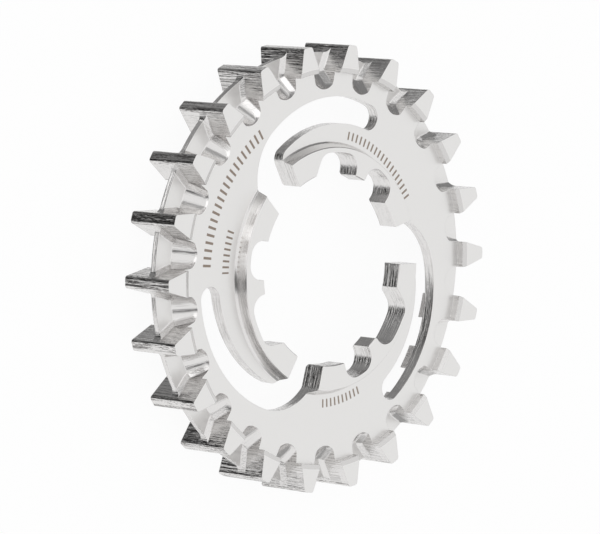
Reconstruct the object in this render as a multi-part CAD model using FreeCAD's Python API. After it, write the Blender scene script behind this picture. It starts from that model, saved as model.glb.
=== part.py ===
import FreeCAD, Part
import math
import os

# Rear sprocket for a toothed bicycle belt, machined in one piece from stainless steel.
# It lies flat: Z is the wheel axis, Z = 0 is the surface that the inner ends of the
# teeth rest on, and the outer face looks up. Lengths are in millimetres and angles in
# degrees, anticlockwise from +X seen from above. The first tooth is centred on +X.

# Belt
TOOTH_COUNT = 22
BELT_PITCH = 11.0
CORD_LIFT = 0.715                # the belt's cords run this far outside the tooth tips

# Teeth
TOOTH_WIDTH = 10.3               # along the axis
TOOTH_HEIGHT = 4.2               # tip down to the underside of the overhanging end
TIP_LAND = 1.9                   # width of the tip before its corners are rounded
TIP_CORNER = 0.5
FLANK_ANGLE = 16.0               # of each flank from the tooth's centre line
INNER_END_SLOPE = 0.87           # the inner ends rise by this much from tip to underside

# Mud ports between the teeth
PORT_RADIUS = 2.28
PORT_CENTRE_DEPTH = 5.67         # tip down to the centre of the port's round end
RAMP_FOOT_DEPTH = 4.87           # tip down to where the ramp meets the flange
RAMP_ANGLE = 48.0                # of the ramp from the plane of the face
FLOOR_BEVEL = 0.7                # between the floor of a gap and its walls
WEB_WALL = 1.7                   # between the ramp and the underside

# Centre flange that tracks the groove in the belt
FLANGE_THICKNESS = 1.0
FLANGE_DROP = 1.5                # the flange's edge lies this far below the tips
FLANGE_TOP_DEPTH = 4.75          # below the outer ends of the teeth
FLANGE_CORNER = 1.4              # sweep of its edge up to the tips

# Face and plate
FACE_RECESS = 1.5                # the face lies this far below the ends of the teeth
STEP_DEPTH = 4.74                # tip down to the wall between the face and the teeth
STEP_BEVEL_WIDTH = 0.8
STEP_BEVEL_DROP = 0.3
PLATE_THICKNESS = 2.0

# Hub boss
BOSS_HEIGHT = 2.0                # above the face
BOSS_WALL = 0.9                  # outside the spline roots
BOSS_FLARE = 0.5                 # the boss is this much wider at its foot
BOSS_FOOT_BEVEL = 0.3
BOSS_EDGE = 0.15

# Splines: angles from the closed end of the slot that leads them
LUG_TIP_RADIUS = 16.3
SPLINE_DEPTH = 3.4
SMALL_LUG = (0.0, 8.0)
SMALL_LUG_FOOT = (-1.0, 9.0)
ARM_LUG = (42.3, 56.7)
ARM_LUG_FOOT = 34.6
ROOT_LUG = (79.6, 97.4)
ROOT_LUG_FOOT = 98.9
LUG_FOOT_SHARE = 0.735           # of the spline depth that the fillet at a lug's foot takes
LUG_TIP_SHARE = 0.09             # of the spline depth that the rounding of a lug's corners takes
LUG_BACK_CHAMFER = 0.5
LUG_FRONT_CHAMFER = 0.15

# Spiral slots, each closed at one end and open to the bore at the other. A place is
# its distance outside the spline roots and its angle from the closed end.
SLOT_COUNT = 3
SLOT_START = -8.85
SLOT_END_RADIUS = 2.15
SLOT_END_CENTRE = (7.4, 4.6)
SLOT_END_TURN = 4.0              # of the slot's direction inward from square to the radius
OUTER_WALL_MIDDLE = (8.72, 35.0)
OUTER_WALL_END = (7.0, 55.0)
SLOT_MOUTH_MIDDLE = (4.5, 68.0)
SLOT_MOUTH_END = (0.65, 78.0)
SLOT_MOUTH_FILLET = 1.5
ARM_EDGE_MIDDLE = (4.28, 31.0)
ARM_CORNER = (2.4, 56.3)
ARM_CORNER_FILLET = 2.0

# Cutting solids overshoot by this much
CLEAR = 1.0

PITCH_ANGLE = 360.0 / TOOTH_COUNT
SECTOR = 360.0 / SLOT_COUNT
TIP_RADIUS = TOOTH_COUNT * BELT_PITCH / (2 * math.pi) - CORD_LIFT
TOOTH_BASE_RADIUS = TIP_RADIUS - TOOTH_HEIGHT
PORT_CENTRE_RADIUS = TIP_RADIUS - PORT_CENTRE_DEPTH
SPLINE_ROOT_RADIUS = LUG_TIP_RADIUS + SPLINE_DEPTH
BOSS_RADIUS = SPLINE_ROOT_RADIUS + BOSS_WALL
BOSS_FOOT_RADIUS = BOSS_RADIUS + BOSS_FLARE
STEP_RADIUS = TIP_RADIUS - STEP_DEPTH
FLANGE_RADIUS = TIP_RADIUS - FLANGE_DROP
FACE_Z = TOOTH_WIDTH - FACE_RECESS
PLATE_Z = FACE_Z - PLATE_THICKNESS
BOSS_Z = FACE_Z + BOSS_HEIGHT
FLANGE_TOP_Z = TOOTH_WIDTH - FLANGE_TOP_DEPTH
FLANGE_BOTTOM_Z = FLANGE_TOP_Z - FLANGE_THICKNESS
RAMP_SLOPE = math.tan(math.radians(RAMP_ANGLE))
RAMP_TOP_RADIUS = TIP_RADIUS - RAMP_FOOT_DEPTH - (FACE_Z - FLANGE_TOP_Z) / RAMP_SLOPE
WEB_SPREAD = WEB_WALL / math.sin(math.radians(RAMP_ANGLE))

ORIGIN = FreeCAD.Vector(0, 0, 0)
AXIS = FreeCAD.Vector(0, 0, 1)


def polar(radius, angle, z=0.0):
    """Point at a radius and an angle in degrees."""
    turn = math.radians(angle)
    return FreeCAD.Vector(radius * math.cos(turn), radius * math.sin(turn), z)


def section(radius, z):
    """Point of an upright section through the axis."""
    return FreeCAD.Vector(radius, 0, z)


def mirrored(point):
    return FreeCAD.Vector(point.x, -point.y, point.z)


def line(start, end):
    return Part.LineSegment(start, end).toShape()


def arc(start, middle, end):
    return Part.Arc(start, middle, end).toShape()


def prism(edges, bottom, top):
    """Upright solid from a closed outline drawn at Z = 0."""
    face = Part.Face(Part.Wire(Part.__sortEdges__(edges)))
    face.translate(AXIS * bottom)
    return face.extrude(AXIS * (top - bottom))


def turned(shape, angle):
    """Copy of a shape turned about the axis."""
    copy = shape.copy()
    copy.rotate(ORIGIN, AXIS, angle)
    return copy


def fillet_uprights(solid, size, corners):
    """Rounds the upright edges that stand on the given corner points."""
    chosen = []
    for edge in solid.Edges:
        first, last = edge.Vertexes[0].Point, edge.Vertexes[-1].Point
        if math.hypot(first.x - last.x, first.y - last.y) > 1e-4:
            continue
        if any(math.hypot(first.x - c.x, first.y - c.y) < 1e-3 for c in corners):
            chosen.append(edge)
    return solid.makeFillet(size, chosen)


def underside_radius(z):
    """Radius of the turned underside of the web, parallel to the ramps."""
    return RAMP_TOP_RADIUS + (FACE_Z - z) / RAMP_SLOPE - WEB_SPREAD


def underside_z(radius):
    return FACE_Z - (radius - underside_radius(FACE_Z)) * RAMP_SLOPE


def make_blank():
    """Turned blank: boss, face, step up to the teeth, and the hollow underside."""
    corners = [
        section(0, BOSS_Z),
        section(BOSS_RADIUS - BOSS_EDGE, BOSS_Z),
        section(BOSS_RADIUS, BOSS_Z - BOSS_EDGE),
        section(BOSS_FOOT_RADIUS, FACE_Z + BOSS_FOOT_BEVEL),
        section(BOSS_FOOT_RADIUS + BOSS_FOOT_BEVEL, FACE_Z),
        section(STEP_RADIUS, FACE_Z),
        section(STEP_RADIUS, TOOTH_WIDTH - STEP_BEVEL_DROP),
        section(STEP_RADIUS + STEP_BEVEL_WIDTH, TOOTH_WIDTH),
        section(TIP_RADIUS, TOOTH_WIDTH),
        section(TIP_RADIUS, 0),
        section(TOOTH_BASE_RADIUS, INNER_END_SLOPE),
        section(TOOTH_BASE_RADIUS, underside_z(TOOTH_BASE_RADIUS)),
        section(underside_radius(PLATE_Z), PLATE_Z),
        section(0, PLATE_Z),
    ]
    outline = Part.Face(Part.makePolygon(corners + corners[:1]))
    return outline.revolve(ORIGIN, AXIS, 360)


def flank_point(depth):
    """Point on one flank of the gap centred on +X, at a depth below the tips."""
    half = TIP_LAND / 2 + depth * math.tan(math.radians(FLANK_ANGLE))
    point = FreeCAD.Vector(TIP_RADIUS - depth, -half, 0)
    return turned(Part.Vertex(point), PITCH_ANGLE / 2).Point


def gap_edges():
    """Outline of one tooth gap and its port, seen along the axis, centred on +X."""
    centre = polar(PORT_CENTRE_RADIUS, 0)
    foot = flank_point(TOOTH_HEIGHT)
    mouth = flank_point(-CLEAR)
    reach = foot - centre
    turn = math.degrees(math.atan2(reach.y, reach.x) + math.acos(PORT_RADIUS / reach.Length))
    touch = centre + polar(PORT_RADIUS, turn)
    return [
        line(mouth, foot),
        line(foot, touch),
        arc(touch, centre - polar(PORT_RADIUS, 0), mirrored(touch)),
        line(mirrored(touch), mirrored(foot)),
        line(mirrored(foot), mirrored(mouth)),
        line(mirrored(mouth), mouth),
    ]


def bevel_floor(cutter):
    """Bevels the edges where the flange's face and the ramp meet the walls of a gap."""
    chosen = []
    for edge in cutter.Edges:
        first, last = edge.Vertexes[0].Point, edge.Vertexes[-1].Point
        across = isinstance(edge.Curve, Part.Line) and first.y * last.y < 0
        if max(first.z, last.z) < TOOTH_WIDTH and not across:
            chosen.append(edge)
    return cutter.makeChamfer(FLOOR_BEVEL, chosen)


def make_ramp():
    """Wedge that keeps the sloping floor of a port and the web behind it."""
    high, low = TOOTH_WIDTH + 2 * CLEAR, FLANGE_TOP_Z - CLEAR
    inner = RAMP_TOP_RADIUS + (FACE_Z - high) / RAMP_SLOPE
    outer = RAMP_TOP_RADIUS + (FACE_Z - low) / RAMP_SLOPE
    corners = [section(inner, high), section(outer, low), section(inner, low)]
    wedge = Part.Face(Part.makePolygon(corners + corners[:1]))
    wedge.translate(FreeCAD.Vector(0, -2 * PORT_RADIUS, 0))
    return wedge.extrude(FreeCAD.Vector(0, 4 * PORT_RADIUS, 0))


def make_gap_cutter():
    """Everything that is milled away in one gap, leaving the ramp and the flange."""
    edges = gap_edges()
    front = bevel_floor(prism(edges, FLANGE_TOP_Z, TOOTH_WIDTH + CLEAR).cut(make_ramp()))
    back = prism(edges, -CLEAR, FLANGE_BOTTOM_Z)
    inside = Part.makeCylinder(FLANGE_RADIUS, TOOTH_WIDTH + 4 * CLEAR, AXIS * (-2 * CLEAR))
    rim = prism(edges, -CLEAR, TOOTH_WIDTH + CLEAR).cut(inside)
    corners = [v.Point for v in rim.Vertexes if v.Point.x < TIP_RADIUS]
    rim = fillet_uprights(rim, FLANGE_CORNER, corners)
    return front.fuse([back, rim])


def cut_gaps(blank):
    """Mills every gap."""
    cutter = make_gap_cutter()
    places = [(index + 0.5) * PITCH_ANGLE for index in range(TOOTH_COUNT)]
    return blank.cut([turned(cutter, angle) for angle in places])


def round_tips(wheel):
    """Rounds the two long corners of every tooth tip."""
    half = TIP_LAND / 2
    corners = []
    for index in range(TOOTH_COUNT):
        for side in (-half, half):
            depth = TIP_RADIUS * TIP_RADIUS - half * half
            corner = FreeCAD.Vector(math.sqrt(depth), side, 0)
            corners.append(turned(Part.Vertex(corner), index * PITCH_ANGLE).Point)
    found = [nearest_upright(wheel, corner) for corner in corners]
    return wheel.makeFillet(TIP_CORNER, found)


def nearest_upright(solid, corner):
    """Upright edge that stands nearest to a point."""
    def distance(edge):
        first, last = edge.Vertexes[0].Point, edge.Vertexes[-1].Point
        if math.hypot(first.x - last.x, first.y - last.y) > 1e-4 or abs(first.z - last.z) < CLEAR:
            return TIP_RADIUS
        return math.hypot(first.x - corner.x, first.y - corner.y)
    return min(solid.Edges, key=distance)


def sector_point(radius, angle, index):
    """Point of the bore, given from the start of one slot."""
    return polar(radius, SLOT_START + index * SECTOR + angle)


def slot_point(place, index):
    """Point of a slot, given by its distance outside the spline roots and its angle."""
    return sector_point(SPLINE_ROOT_RADIUS + place[0], place[1], index)


def sector_edges(index):
    """Bore outline of one sector: small lug, arm lug, slot, root lug."""
    def at(radius, angle):
        return sector_point(radius, angle, index)

    def slot(place):
        return slot_point(place, index)

    def tip(lug):
        ends = [at(LUG_TIP_RADIUS, angle) for angle in lug]
        return arc(ends[0], at(LUG_TIP_RADIUS, sum(lug) / 2), ends[1])

    def root(start, end):
        ends = [at(SPLINE_ROOT_RADIUS, angle) for angle in (start, end)]
        return arc(ends[0], at(SPLINE_ROOT_RADIUS, (start + end) / 2), ends[1])

    def side(foot, top):
        return line(at(SPLINE_ROOT_RADIUS, foot), at(LUG_TIP_RADIUS, top))

    end_centre = slot(SLOT_END_CENTRE)
    heading = SLOT_START + index * SECTOR + SLOT_END_CENTRE[1] + SLOT_END_TURN
    outward = polar(SLOT_END_RADIUS, heading)
    backward = polar(SLOT_END_RADIUS, heading - 90)
    return [
        side(SMALL_LUG_FOOT[0], SMALL_LUG[0]),
        tip(SMALL_LUG),
        side(SMALL_LUG_FOOT[1], SMALL_LUG[1]),
        root(SMALL_LUG_FOOT[1], ARM_LUG_FOOT),
        side(ARM_LUG_FOOT, ARM_LUG[0]),
        tip(ARM_LUG),
        line(at(LUG_TIP_RADIUS, ARM_LUG[1]), slot(ARM_CORNER)),
        arc(slot(ARM_CORNER), slot(ARM_EDGE_MIDDLE), end_centre - outward),
        arc(end_centre - outward, end_centre + backward, end_centre + outward),
        arc(end_centre + outward, slot(OUTER_WALL_MIDDLE), slot(OUTER_WALL_END)),
        arc(slot(OUTER_WALL_END), slot(SLOT_MOUTH_MIDDLE), slot(SLOT_MOUTH_END)),
        line(slot(SLOT_MOUTH_END), at(LUG_TIP_RADIUS, ROOT_LUG[0])),
        tip(ROOT_LUG),
        side(ROOT_LUG_FOOT, ROOT_LUG[1]),
        root(ROOT_LUG_FOOT, SECTOR + SMALL_LUG_FOOT[0]),
    ]


def make_bore_cutter():
    """The splined bore and the three slots as one cut."""
    edges = []
    feet, tips, arm_ends, mouths = [], [], [], []
    for index in range(SLOT_COUNT):
        edges += sector_edges(index)
        for angle in (*SMALL_LUG_FOOT, ARM_LUG_FOOT, ROOT_LUG_FOOT):
            feet.append(sector_point(SPLINE_ROOT_RADIUS, angle, index))
        for angle in (*SMALL_LUG, *ARM_LUG, *ROOT_LUG):
            tips.append(sector_point(LUG_TIP_RADIUS, angle, index))
        arm_ends.append(slot_point(ARM_CORNER, index))
        mouths.append(slot_point(SLOT_MOUTH_END, index))
    cutter = prism(edges, PLATE_Z - CLEAR, BOSS_Z + CLEAR)
    for size, corners in (
        (SPLINE_DEPTH * LUG_FOOT_SHARE, feet),
        (ARM_CORNER_FILLET, arm_ends),
        (SLOT_MOUTH_FILLET, mouths),
        (SPLINE_DEPTH * LUG_TIP_SHARE, tips),
    ):
        cutter = fillet_uprights(cutter, size, corners)
    return cutter


def make_lug_chamfers():
    """Cones that break the lug tips at the back and, lightly, at the front."""
    cones = []
    for z, size, way in ((PLATE_Z, LUG_BACK_CHAMFER, 1), (BOSS_Z, LUG_FRONT_CHAMFER, -1)):
        wide = LUG_TIP_RADIUS + size + CLEAR
        narrow = LUG_TIP_RADIUS - CLEAR
        cones.append(Part.makeCone(wide, narrow, size + 2 * CLEAR, AXIS * (z - way * CLEAR), AXIS * way))
    return cones


def make_sprocket():
    """The finished part."""
    wheel = cut_gaps(make_blank())
    wheel = round_tips(wheel)
    return wheel.cut([make_bore_cutter(), *make_lug_chamfers()]).removeSplitter()


sprocket = make_sprocket()
os.makedirs("parts", exist_ok=True)
sprocket.exportStep("parts/belt_sprocket.step")
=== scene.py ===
"""Looks of a rear belt sprocket, machined in one piece from stainless steel.

The sprocket lies flat on a pale floor with its outer face up. Its camera stands where
the photographer stood: well off the wheel axis and far away, rolled so that the wheel
seems to stand upright. Lengths in this file are in millimetres unless a name says so.
"""
import logging
import math
from dataclasses import dataclass, field
from enum import Enum
from typing import Any, Mapping, Optional, Union

import bpy
from mathutils import Matrix, Vector

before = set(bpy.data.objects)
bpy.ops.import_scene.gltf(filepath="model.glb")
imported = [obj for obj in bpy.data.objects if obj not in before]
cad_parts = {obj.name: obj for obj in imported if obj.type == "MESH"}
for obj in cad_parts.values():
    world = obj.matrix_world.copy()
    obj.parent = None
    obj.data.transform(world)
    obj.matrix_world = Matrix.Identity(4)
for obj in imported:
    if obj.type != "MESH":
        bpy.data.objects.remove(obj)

MM = 0.001
log = logging.getLogger("sprocket")


class Arithmetic(Enum):
    """Math node operations that expressions use."""

    ADD = "ADD"
    SUBTRACT = "SUBTRACT"
    MULTIPLY = "MULTIPLY"
    DIVIDE = "DIVIDE"
    POWER = "POWER"
    LESS = "LESS_THAN"
    GREATER = "GREATER_THAN"
    LARGEST = "MAXIMUM"
    FRACTION = "FRACT"
    ARCTAN2 = "ARCTAN2"
    SIZE = "ABSOLUTE"


Number = Union[float, "Socket"]


@dataclass(frozen=True)
class Socket:
    """One output of a shader node, on which Python arithmetic adds Math nodes."""

    graph: "Graph"
    link: bpy.types.NodeSocket

    def combine(self, operation: Arithmetic, first: Number, second: Number = 0.0) -> "Socket":
        """Adds one Math node.

        Args:
            operation: what the node does.
            first: its first value.
            second: its second value.

        Returns:
            The node's result.
        """
        values = {0: first, 1: second}
        return self.graph.node("ShaderNodeMath", {"operation": operation.value}, values)

    def __add__(self, other: Number) -> "Socket":
        """self + other."""
        return self.combine(Arithmetic.ADD, self, other)

    def __radd__(self, other: Number) -> "Socket":
        """other + self."""
        return self.combine(Arithmetic.ADD, other, self)

    def __sub__(self, other: Number) -> "Socket":
        """self - other."""
        return self.combine(Arithmetic.SUBTRACT, self, other)

    def __rsub__(self, other: Number) -> "Socket":
        """other - self."""
        return self.combine(Arithmetic.SUBTRACT, other, self)

    def __mul__(self, other: Number) -> "Socket":
        """self * other."""
        return self.combine(Arithmetic.MULTIPLY, self, other)

    def __rmul__(self, other: Number) -> "Socket":
        """other * self."""
        return self.combine(Arithmetic.MULTIPLY, other, self)

    def __truediv__(self, other: Number) -> "Socket":
        """self / other."""
        return self.combine(Arithmetic.DIVIDE, self, other)

    def __pow__(self, other: Number) -> "Socket":
        """self ** other."""
        return self.combine(Arithmetic.POWER, self, other)

    def __lt__(self, other: Number) -> "Socket":
        """1 where self is less."""
        return self.combine(Arithmetic.LESS, self, other)

    def __gt__(self, other: Number) -> "Socket":
        """1 where self is greater."""
        return self.combine(Arithmetic.GREATER, self, other)

    def __abs__(self) -> "Socket":
        """Size without sign."""
        return self.combine(Arithmetic.SIZE, self)

    def fraction(self) -> "Socket":
        """The part after the decimal point."""
        return self.combine(Arithmetic.FRACTION, self)

    def at_least(self, other: Number) -> "Socket":
        """The larger of the two."""
        return self.combine(Arithmetic.LARGEST, self, other)

    def between(self, low: float, high: float) -> "Socket":
        """1 where the value lies between two limits."""
        return (self > low) * (self < high)

    def ramp(self, low: float, high: float) -> "Socket":
        """0 at low rising smoothly to 1 at high.

        Args:
            low: value that gives 0.
            high: value that gives 1. It may be the smaller one.

        Returns:
            The eased share of the way from low to high.
        """
        settings = {"interpolation_type": "SMOOTHSTEP"}
        return self.graph.node("ShaderNodeMapRange", settings, {0: self, 1: low, 2: high})


Value = Union[float, tuple, Socket]


class Graph:
    """Builds one material's or one world's nodes."""

    def __init__(self, tree: bpy.types.NodeTree) -> None:
        """Empties the tree.

        Args:
            tree: the node tree to fill.
        """
        tree.nodes.clear()
        self.tree = tree

    def node(
        self,
        kind: str,
        settings: Optional[Mapping[str, Any]] = None,
        inputs: Optional[Mapping[Union[int, str], Value]] = None,
        output: Union[int, str] = 0,
    ) -> Socket:
        """Adds any node.

        Args:
            kind: the node's type.
            settings: attributes of the node, set first.
            inputs: a number, a tuple or a Socket for each named or numbered input.
            output: which output to return.

        Returns:
            The chosen output.
        """
        made = self.tree.nodes.new(kind)
        for name, setting in (settings or {}).items():
            setattr(made, name, setting)
        for key, value in (inputs or {}).items():
            if isinstance(value, Socket):
                self.tree.links.new(value.link, made.inputs[key])
            else:
                made.inputs[key].default_value = value
        if len(made.outputs) == 0:
            return Socket(self, None)
        return Socket(self, made.outputs[output])

    def mix_colour(self, share: Value, first: Value, second: Value) -> Socket:
        """Blends two colours.

        Args:
            share: how much of the second colour shows.
            first: the first colour.
            second: the second colour.

        Returns:
            The blended colour.
        """
        settings = {"data_type": "RGBA"}
        return self.node("ShaderNodeMix", settings, {0: share, 6: first, 7: second}, 2)

    def scaled(self, vector: Value, sizes: tuple[float, float, float]) -> Socket:
        """Multiplies a vector part by part."""
        return self.node("ShaderNodeVectorMath", {"operation": "MULTIPLY"}, {0: vector, 1: sizes})

    def noise(self, vector: Value, detail: float) -> Socket:
        """Noise between 0 and 1, with one cell per unit of the vector.

        Args:
            vector: where to read it.
            detail: octaves.

        Returns:
            The noise value.
        """
        inputs = {"Vector": vector, "Scale": 1.0, "Detail": detail, "Roughness": 0.55}
        return self.node("ShaderNodeTexNoise", {"noise_dimensions": "3D"}, inputs)


@dataclass(frozen=True)
class Place:
    """Where a point of the sprocket is, as sockets in millimetres and degrees."""

    point: Socket
    across: Socket
    along: Socket
    height: Socket
    radius: Socket
    angle: Socket
    facing: Socket

    @classmethod
    def read(cls, graph: Graph) -> "Place":
        """Reads the Object coordinates.

        Args:
            graph: the material's graph.

        Returns:
            The point, its polar form about the wheel axis, and how far its surface
            faces up, from -1 to 1.
        """
        metres = graph.node("ShaderNodeTexCoord", output="Object")
        point = graph.scaled(metres, (1 / MM, 1 / MM, 1 / MM))
        across = graph.node("ShaderNodeSeparateXYZ", None, {0: point}, "X")
        along = graph.node("ShaderNodeSeparateXYZ", None, {0: point}, "Y")
        height = graph.node("ShaderNodeSeparateXYZ", None, {0: point}, "Z")
        radius = (across * across + along * along) ** 0.5
        angle = across.combine(Arithmetic.ARCTAN2, along, across) * math.degrees(1)
        normal = graph.node("ShaderNodeNewGeometry", output="True Normal")
        facing = graph.node("ShaderNodeSeparateXYZ", None, {0: normal}, "Z")
        return cls(point, across, along, height, radius, angle, facing)


@dataclass(frozen=True)
class MarkRow:
    """A row of fine etched strokes along an arc, like the divisions of a plain scale."""

    inner_radius: float
    outer_radius: float
    start_angle: float
    end_angle: float
    stroke_step: float
    stroke_share: float = 0.34

    def mask(self, place: Place) -> Socket:
        """Where the strokes are.

        Args:
            place: the point being shaded.

        Returns:
            1 on a stroke and 0 beside it.
        """
        turn = ((place.angle - self.start_angle) / 360.0).fraction() * 360.0
        inside = turn < (self.end_angle - self.start_angle)
        stroke = (turn / self.stroke_step).fraction() < self.stroke_share
        return inside * stroke * place.radius.between(self.inner_radius, self.outer_radius)


@dataclass(frozen=True)
class Speckle:
    """Noise in the solid, drawn out along some of its axes."""

    cells: tuple
    detail: float

    def read(self, graph: Graph, place: Place) -> Socket:
        """The noise at a point.

        Args:
            graph: the material's graph.
            place: the point being shaded.

        Returns:
            Noise between 0 and 1, with so many cells per millimetre along X, Y and Z.
        """
        return graph.noise(graph.scaled(place.point, self.cells), self.detail)


@dataclass(frozen=True)
class SatinSteel:
    """Bare stainless steel: satin faces, milled walls and turned steps, with dark reflection streaks
    painted on the teeth and flanks and a grey reflection painted on the step bevel.
    """

    name: str = "satin stainless steel"
    colour: tuple = (0.80, 0.792, 0.782, 1.0)
    wall_colour: tuple = (0.78, 0.768, 0.76, 1.0)
    # Painted dark reflection streaks on the tooth tips and flanks, laid along the feed lines.
    painted_streak_shade_colour: tuple = (0.26, 0.25, 0.245, 1.0)
    # Painted grey reflection on the bevel between the recessed face and the teeth.
    painted_bevel_reflection_colour: tuple = (0.67, 0.66, 0.652, 1.0)
    mark_colour: tuple = (0.25, 0.19, 0.145, 1.0)

    face_roughness: float = 0.30
    wall_roughness: float = 0.15
    mark_roughness: float = 0.55
    inner_end_roughness: float = 0.85
    grain_roughness: float = 0.05
    patch_roughness: float = 0.06
    streak_roughness: float = 0.16

    layers: Speckle = Speckle((0.12, 0.12, 3.0), 3.0)
    dashes: Speckle = Speckle((6.0, 6.0, 1.3), 2.0)
    patches: Speckle = Speckle((0.22, 0.22, 0.22), 3.0)
    grain: Speckle = Speckle((5.0, 5.0, 5.0), 4.0)
    line_cells: tuple = (2.0, 3.4, 0.14)
    line_detail: float = 3.0
    ramp_line_cells: float = 0.2

    dash_share: float = 0.4
    # Where and how strongly the painted dark reflection streaks show on the tips and the flanks.
    tip_streak_shade: tuple = (0.505, 0.44)
    flank_streak_shade: tuple = (0.50, 0.40)
    flank_streak_shade_share: float = 0.40
    streak_shade_share: float = 0.85
    mark_grain: float = 0.25

    relief_depth: float = 0.18
    slanted_relief: float = 0.15
    grain_relief: float = 0.005
    bevel_samples: int = 6
    edge_round: float = 0.12
    floor_round: float = 0.35
    ramp_hollow: float = 0.30
    rim_tilt: float = 0.30

    level_facing: float = 0.995
    ramp_facing: tuple = (0.64, 0.70)
    bevel_least_facing: float = 0.5
    upright_facing: float = 0.1

    pitch: float = 360.0 / 22
    tip_radius: float = 37.2
    rim: tuple = (36.2, 36.4)
    gap_radius: float = 35.7
    tooth_radius: float = 33.9
    inner_ends: tuple = (33.4, 33.8)
    step_radius: float = 33.0
    port_radius: float = 29.7
    top_height: float = 10.3
    bevel_base_height: float = 9.98
    face_height: float = 8.8
    mark_height: float = 8.7
    floor_height: float = 8.2
    rim_heights: tuple = (4.68, 5.42)
    inner_end_height: float = 3.4

    marks: tuple = (
        MarkRow(26.9, 28.7, 171.5, 226.0, 2.6),
        MarkRow(22.7, 24.2, 209.5, 227.0, 2.4),
        MarkRow(22.1, 23.5, 77.0, 126.0, 2.6),
        MarkRow(22.2, 23.6, 317.5, 341.0, 2.4),
    )

    def on_faces(self, place: Place) -> Socket:
        """1 on the level faces."""
        return abs(place.facing) > self.level_facing

    def on_marks(self, place: Place) -> Socket:
        """1 on the etched strokes, which stand on the recessed face."""
        found = self.marks[0].mask(place)
        for row in self.marks[1:]:
            found = found.at_least(row.mask(place))
        return found * self.on_faces(place) * place.height.between(self.mark_height, self.top_height)

    def on_ramps(self, place: Place) -> Socket:
        """1 on the sloping floors of the ports."""
        slanted = place.facing.between(*self.ramp_facing)
        return slanted * place.radius.between(self.port_radius, self.step_radius)

    def on_rim(self, place: Place) -> Socket:
        """1 on the rim of the centre flange."""
        return place.radius.between(*self.rim) * place.height.between(*self.rim_heights)

    def on_flanks(self, place: Place) -> Socket:
        """1 on the upright walls between the teeth."""
        upright = abs(place.facing) < self.upright_facing
        sides = place.radius.between(self.port_radius, self.tip_radius)
        return upright * sides * place.height.between(self.rim_heights[1], self.face_height)

    def on_painted_bevel_reflection(self, place: Place) -> Socket:
        """1 on the bevel between the recessed face and the teeth, where a grey reflection is painted."""
        slanted = place.facing.between(self.bevel_least_facing, self.level_facing)
        strip = place.radius.between(self.step_radius, self.tooth_radius)
        return slanted * strip * (place.height > self.bevel_base_height)

    def streaks(self, graph: Graph, place: Place) -> Socket:
        """Feed lines: round the profile on the walls, and along the teeth.

        Args:
            graph: the material's graph.
            place: the point being shaded.

        Returns:
            Noise between 0 and 1, drawn out along the lines.
        """
        layers = self.layers.read(graph, place)
        per_degree, per_radius, per_height = self.line_cells
        outward = per_radius + self.on_ramps(place) * (self.ramp_line_cells - per_radius)
        parts = {"X": place.angle * per_degree, "Y": place.radius * outward, "Z": place.height * per_height}
        lines = graph.noise(graph.node("ShaderNodeCombineXYZ", None, parts), self.line_detail)
        toothed = (place.radius > self.port_radius) * (1.0 - self.on_rim(place))
        return layers + toothed * (lines - layers)

    def paint(self, graph: Graph, place: Place, streaks: Socket, grain: Socket) -> Socket:
        """The colour, with painted dark reflection streaks on the tips and flanks, a painted grey
        reflection on the step bevel, and the etched strokes.

        Args:
            graph: the material's graph.
            place: the point being shaded.
            streaks: the feed lines.
            grain: the fine grain.

        Returns:
            The colour.
        """
        walls = 1.0 - self.on_faces(place)
        tips = walls * (place.radius > self.tip_radius)
        broken = (1.0 - self.dash_share) * streaks + self.dash_share * self.dashes.read(graph, place)
        # Painted dark reflection streaks along the feed lines: strong on the tips, weaker on the flanks.
        painted_streak_shade = tips * broken.ramp(*self.tip_streak_shade)
        painted_streak_shade = painted_streak_shade + self.flank_streak_shade_share * self.on_flanks(place) * streaks.ramp(*self.flank_streak_shade)
        colour = graph.mix_colour(walls, self.colour, self.wall_colour)
        # Painted grey reflection on the step bevel.
        colour = graph.mix_colour(self.on_painted_bevel_reflection(place), colour, self.painted_bevel_reflection_colour)
        colour = graph.mix_colour(painted_streak_shade * self.streak_shade_share, colour, self.painted_streak_shade_colour)
        etched = self.on_marks(place) * (1.0 - self.mark_grain + self.mark_grain * grain)
        return graph.mix_colour(etched, colour, self.mark_colour)

    def polish(self, graph: Graph, place: Place, streaks: Socket, grain: Socket) -> Socket:
        """The roughness of the faces, the walls, the teeth's inner ends and the strokes.

        Args:
            graph: the material's graph.
            place: the point being shaded.
            streaks: the feed lines.
            grain: the fine grain.

        Returns:
            The roughness.
        """
        walls = 1.0 - self.on_faces(place)
        patches = self.patches.read(graph, place)
        rough = self.face_roughness + self.grain_roughness * (grain - 0.5)
        rough = rough + self.patch_roughness * (patches - 0.5)
        milled = self.wall_roughness - self.face_roughness + self.streak_roughness * (streaks - 0.5)
        rough = rough + walls * milled
        inner_ends = walls * place.radius.between(*self.inner_ends) * (place.height < self.inner_end_height)
        rough = rough + inner_ends * (self.inner_end_roughness - rough)
        return rough + self.on_marks(place) * (self.mark_roughness - rough)

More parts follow.
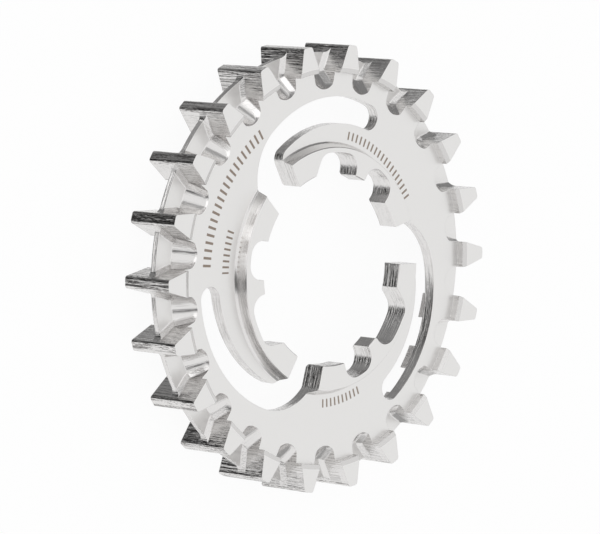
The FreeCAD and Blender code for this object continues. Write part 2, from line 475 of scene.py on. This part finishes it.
    def normal(self, graph: Graph, place: Place, relief: Socket) -> Socket:
        """Broken edges, the rounded floors of the gaps, the crowned rim and the feed lines.

        Args:
            graph: the material's graph.
            place: the point being shaded.
            relief: how high the surface's texture stands, from 0 to 1.

        Returns:
            The normal to shade with.
        """
        samples = {"samples": self.bevel_samples}
        edges = graph.node("ShaderNodeBevel", samples, {"Radius": self.edge_round * MM})
        floors = graph.node("ShaderNodeBevel", samples, {"Radius": self.floor_round * MM})
        in_gap = place.radius.between(self.port_radius, self.gap_radius)
        in_gap = in_gap * place.height.between(self.rim_heights[1], self.floor_height)
        blended = graph.node("ShaderNodeMix", {"data_type": "VECTOR"}, {0: in_gap, 4: edges, 5: floors}, 1)
        offset = ((place.angle / self.pitch).fraction() - 0.5) * math.radians(self.pitch)
        sag = self.on_ramps(place) * offset * (-self.ramp_hollow)
        crown = self.on_rim(place) * self.rim_tilt
        parts = {"X": -1.0 * place.along * sag, "Y": place.across * sag, "Z": crown}
        lean = graph.node("ShaderNodeCombineXYZ", None, parts)
        leaning = graph.node("ShaderNodeVectorMath", {"operation": "ADD"}, {0: blended, 1: lean})
        unit = graph.node("ShaderNodeVectorMath", {"operation": "NORMALIZE"}, {0: leaning})
        inputs = {"Strength": 1.0, "Distance": self.relief_depth * MM, "Height": relief, "Normal": unit}
        return graph.node("ShaderNodeBump", None, inputs)

    def relief(self, place: Place, streaks: Socket, grain: Socket) -> Socket:
        """How high the feed lines and the grain stand.

        Args:
            place: the point being shaded.
            streaks: the feed lines.
            grain: the fine grain.

        Returns:
            The height, from 0 to 1.
        """
        upright = abs(place.facing) < self.upright_facing
        strength = self.slanted_relief + (1.0 - self.slanted_relief) * upright
        return (1.0 - self.on_faces(place)) * streaks * strength + self.grain_relief * grain

    def material(self) -> bpy.types.Material:
        """Builds the material.

        Returns:
            The finished material.
        """
        made = bpy.data.materials.new(self.name)
        made.use_nodes = True
        graph = Graph(made.node_tree)
        place = Place.read(graph)
        streaks = self.streaks(graph, place)
        grain = self.grain.read(graph, place)
        inputs = {
            "Base Color": self.paint(graph, place, streaks, grain),
            "Roughness": self.polish(graph, place, streaks, grain),
            "Metallic": 1.0,
            "Normal": self.normal(graph, place, self.relief(place, streaks, grain)),
        }
        shader = graph.node("ShaderNodeBsdfPrincipled", None, inputs)
        graph.node("ShaderNodeOutputMaterial", None, {"Surface": shader})
        return made


@dataclass
class Sprocket:
    """The CAD solid in its finish."""

    node: str = "belt_sprocket"
    steel: SatinSteel = field(default_factory=SatinSteel)

    def dress(self) -> None:
        """Gives the CAD node its material."""
        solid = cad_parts[self.node]
        solid.data.materials.clear()
        solid.data.materials.append(self.steel.material())
        log.info("%s: %d faces in %s", self.node, len(solid.data.polygons), self.steel.name)


@dataclass(frozen=True)
class RoomPatch:
    """A round part of the room that is darker or brighter than the rest."""

    azimuth: float
    elevation: float
    core: float
    edge: float
    level: float

    def over(self, graph: Graph, direction: Socket, light: Number) -> Socket:
        """Lays the patch over the light from a direction.

        Args:
            graph: the world's graph.
            direction: unit vector into the room.
            light: the light without this patch.

        Returns:
            The light with this patch.
        """
        turn, rise = math.radians(self.azimuth), math.radians(self.elevation)
        centre = (math.cos(turn) * math.cos(rise), math.sin(turn) * math.cos(rise), math.sin(rise))
        inputs = {0: direction, 1: centre}
        nearness = graph.node("ShaderNodeVectorMath", {"operation": "DOT_PRODUCT"}, inputs, "Value")
        outer, inner = math.cos(math.radians(self.edge)), math.cos(math.radians(self.core))
        return light + nearness.ramp(outer, inner) * (self.level - light)


@dataclass(frozen=True)
class DarkPost:
    """A dark upright thing in the room, such as a camera on its stand."""

    azimuth: float
    half_width: float
    bottom: float
    top: float
    level: float
    soft_edge: tuple = (1.4, 0.7)

    def over(self, graph: Graph, direction: Socket, light: Number) -> Socket:
        """Lays the post over the light from a direction.

        Args:
            graph: the world's graph.
            direction: unit vector into the room.
            light: the light without this post.

        Returns:
            The light with this post.
        """
        turn = math.radians(self.azimuth)
        dot = {"operation": "DOT_PRODUCT"}
        ahead = {0: direction, 1: (math.cos(turn), math.sin(turn), 0.0)}
        beside = {0: direction, 1: (-math.sin(turn), math.cos(turn), 0.0)}
        before = graph.node("ShaderNodeVectorMath", dot, ahead, "Value") > 0.0
        offset = abs(graph.node("ShaderNodeVectorMath", dot, beside, "Value"))
        height = graph.node("ShaderNodeSeparateXYZ", None, {0: direction}, "Z")
        half = math.sin(math.radians(self.half_width))
        bottom, top = math.sin(math.radians(self.bottom)), math.sin(math.radians(self.top))
        outer, inner = self.soft_edge
        shade = before * offset.ramp(outer * half, inner * half)
        shade = shade * height.ramp(bottom, bottom + half) * height.ramp(top, top - half)
        return light + shade * (self.level - light)


@dataclass
class Studio:
    """Pale floor, white surroundings with unlit parts, and one broad soft lamp."""

    floor_size: float = 6000.0
    floor_colour: tuple = (0.86, 0.86, 0.86, 1.0)
    floor_glow: float = 0.94
    surround: float = 0.95
    parts: tuple = (
        RoomPatch(-165.0, 2.0, 16.0, 28.0, 1.45),
        RoomPatch(40.0, -16.0, 12.0, 26.0, 0.38),
        RoomPatch(78.0, -16.0, 12.0, 26.0, 0.35),
        RoomPatch(-32.0, 5.0, 14.0, 28.0, 0.4),
        RoomPatch(115.0, -8.0, 27.0, 38.0, 0.25),
        RoomPatch(157.0, -50.0, 38.0, 45.0, 0.26),
        RoomPatch(-151.0, -48.0, 19.0, 26.0, 0.03),
        DarkPost(161.0, 9.0, -30.0, 45.0, 0.4),
        DarkPost(-119.0, 6.0, -30.0, 60.0, 0.12),
    )
    lamp_size: float = 500.0
    lamp_place: tuple = (-200.0, 350.0, 850.0)
    lamp_power: float = 0.2

    def build(self) -> None:
        """Builds the floor, the surroundings and the lamp."""
        self.build_floor()
        self.build_surround()
        self.build_lamp()

    def build_floor(self) -> None:
        """Adds the floor and its material."""
        bpy.ops.object.select_all(action="DESELECT")
        bpy.ops.mesh.primitive_plane_add(size=self.floor_size * MM)
        floor = bpy.context.object
        floor.name = "floor"
        made = bpy.data.materials.new("pale floor")
        made.use_nodes = True
        graph = Graph(made.node_tree)
        seen = graph.node("ShaderNodeLightPath", output="Is Camera Ray")
        mirrored = graph.node("ShaderNodeLightPath", output="Is Glossy Ray")
        lit = graph.node("ShaderNodeBsdfDiffuse", None, {"Color": self.floor_colour})
        glow = graph.node("ShaderNodeEmission", None, {"Color": (1, 1, 1, 1), "Strength": 1.0})
        clear = graph.node("ShaderNodeBsdfTransparent")
        shader = graph.node("ShaderNodeMixShader", None, {0: seen * self.floor_glow, 1: lit, 2: glow})
        shader = graph.node("ShaderNodeMixShader", None, {0: mirrored, 1: shader, 2: clear})
        graph.node("ShaderNodeOutputMaterial", None, {"Surface": shader})
        floor.data.materials.append(made)
        log.info("floor: %.0f mm square", self.floor_size)

    def build_surround(self) -> None:
        """Makes the world white to the camera and even to the metal."""
        world = bpy.data.worlds.new("white surround")
        world.use_nodes = True
        graph = Graph(world.node_tree)
        seen = graph.node("ShaderNodeLightPath", output="Is Camera Ray")
        mirrored = graph.node("ShaderNodeLightPath", output="Is Glossy Ray")
        direction = graph.node("ShaderNodeTexCoord", output="Generated")
        light = 1.0
        for part in self.parts:
            light = part.over(graph, direction, light)
        strength = self.surround * (1.0 - mirrored * (1.0 - light))
        strength = strength + seen * (1.0 - self.surround)
        shader = graph.node("ShaderNodeBackground", None, {"Color": (1, 1, 1, 1), "Strength": strength})
        graph.node("ShaderNodeOutputWorld", None, {"Surface": shader})
        bpy.context.scene.world = world
        log.info("surround: strength %.2f", self.surround)

    def build_lamp(self) -> None:
        """Adds the broad lamp."""
        bpy.ops.object.select_all(action="DESELECT")
        place = Vector(self.lamp_place) * MM
        turn = (-place).to_track_quat("-Z", "Y").to_euler()
        bpy.ops.object.light_add(type="AREA", location=place, rotation=turn)
        lamp = bpy.context.object
        lamp.data.size = self.lamp_size * MM
        lamp.data.energy = self.lamp_power
        log.info("lamp: %.1f W", self.lamp_power)


@dataclass
class Viewpoint:
    """The camera, given by the direction it stands in and the point it aims at."""

    azimuth: float = -139.32
    elevation: float = 44.25
    roll: float = 95.81
    distance: float = 759.3
    aim: tuple = (-2.64, -2.52, 6.56)
    lens: float = 270.9
    near_limit: float = 10.0

    def build(self) -> None:
        """Adds the camera and makes it the scene's own."""
        turn, rise = math.radians(self.azimuth), math.radians(self.elevation)
        back = Vector((math.cos(turn) * math.cos(rise), math.sin(turn) * math.cos(rise), math.sin(rise)))
        level = back.to_track_quat("Z", "Y").to_matrix().to_4x4()
        data = bpy.data.cameras.new("camera")
        data.lens = self.lens
        data.clip_start = self.near_limit * MM
        camera = bpy.data.objects.new("camera", data)
        bpy.context.collection.objects.link(camera)
        stand = (Vector(self.aim) + back * self.distance) * MM
        rolled = Matrix.Rotation(math.radians(self.roll), 4, "Z")
        camera.matrix_world = Matrix.Translation(stand) @ level @ rolled
        bpy.context.scene.camera = camera
        log.info("camera: %.0f mm away at %.1f degrees", self.distance, self.elevation)


def main() -> None:
    """Builds everything in order."""
    logging.basicConfig(level=logging.INFO, format="%(name)s: %(message)s")
    bpy.context.scene.view_settings.view_transform = "Standard"
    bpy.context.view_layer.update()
    Sprocket().dress()
    Studio().build()
    Viewpoint().build()


if __name__ == "__main__":
    main()
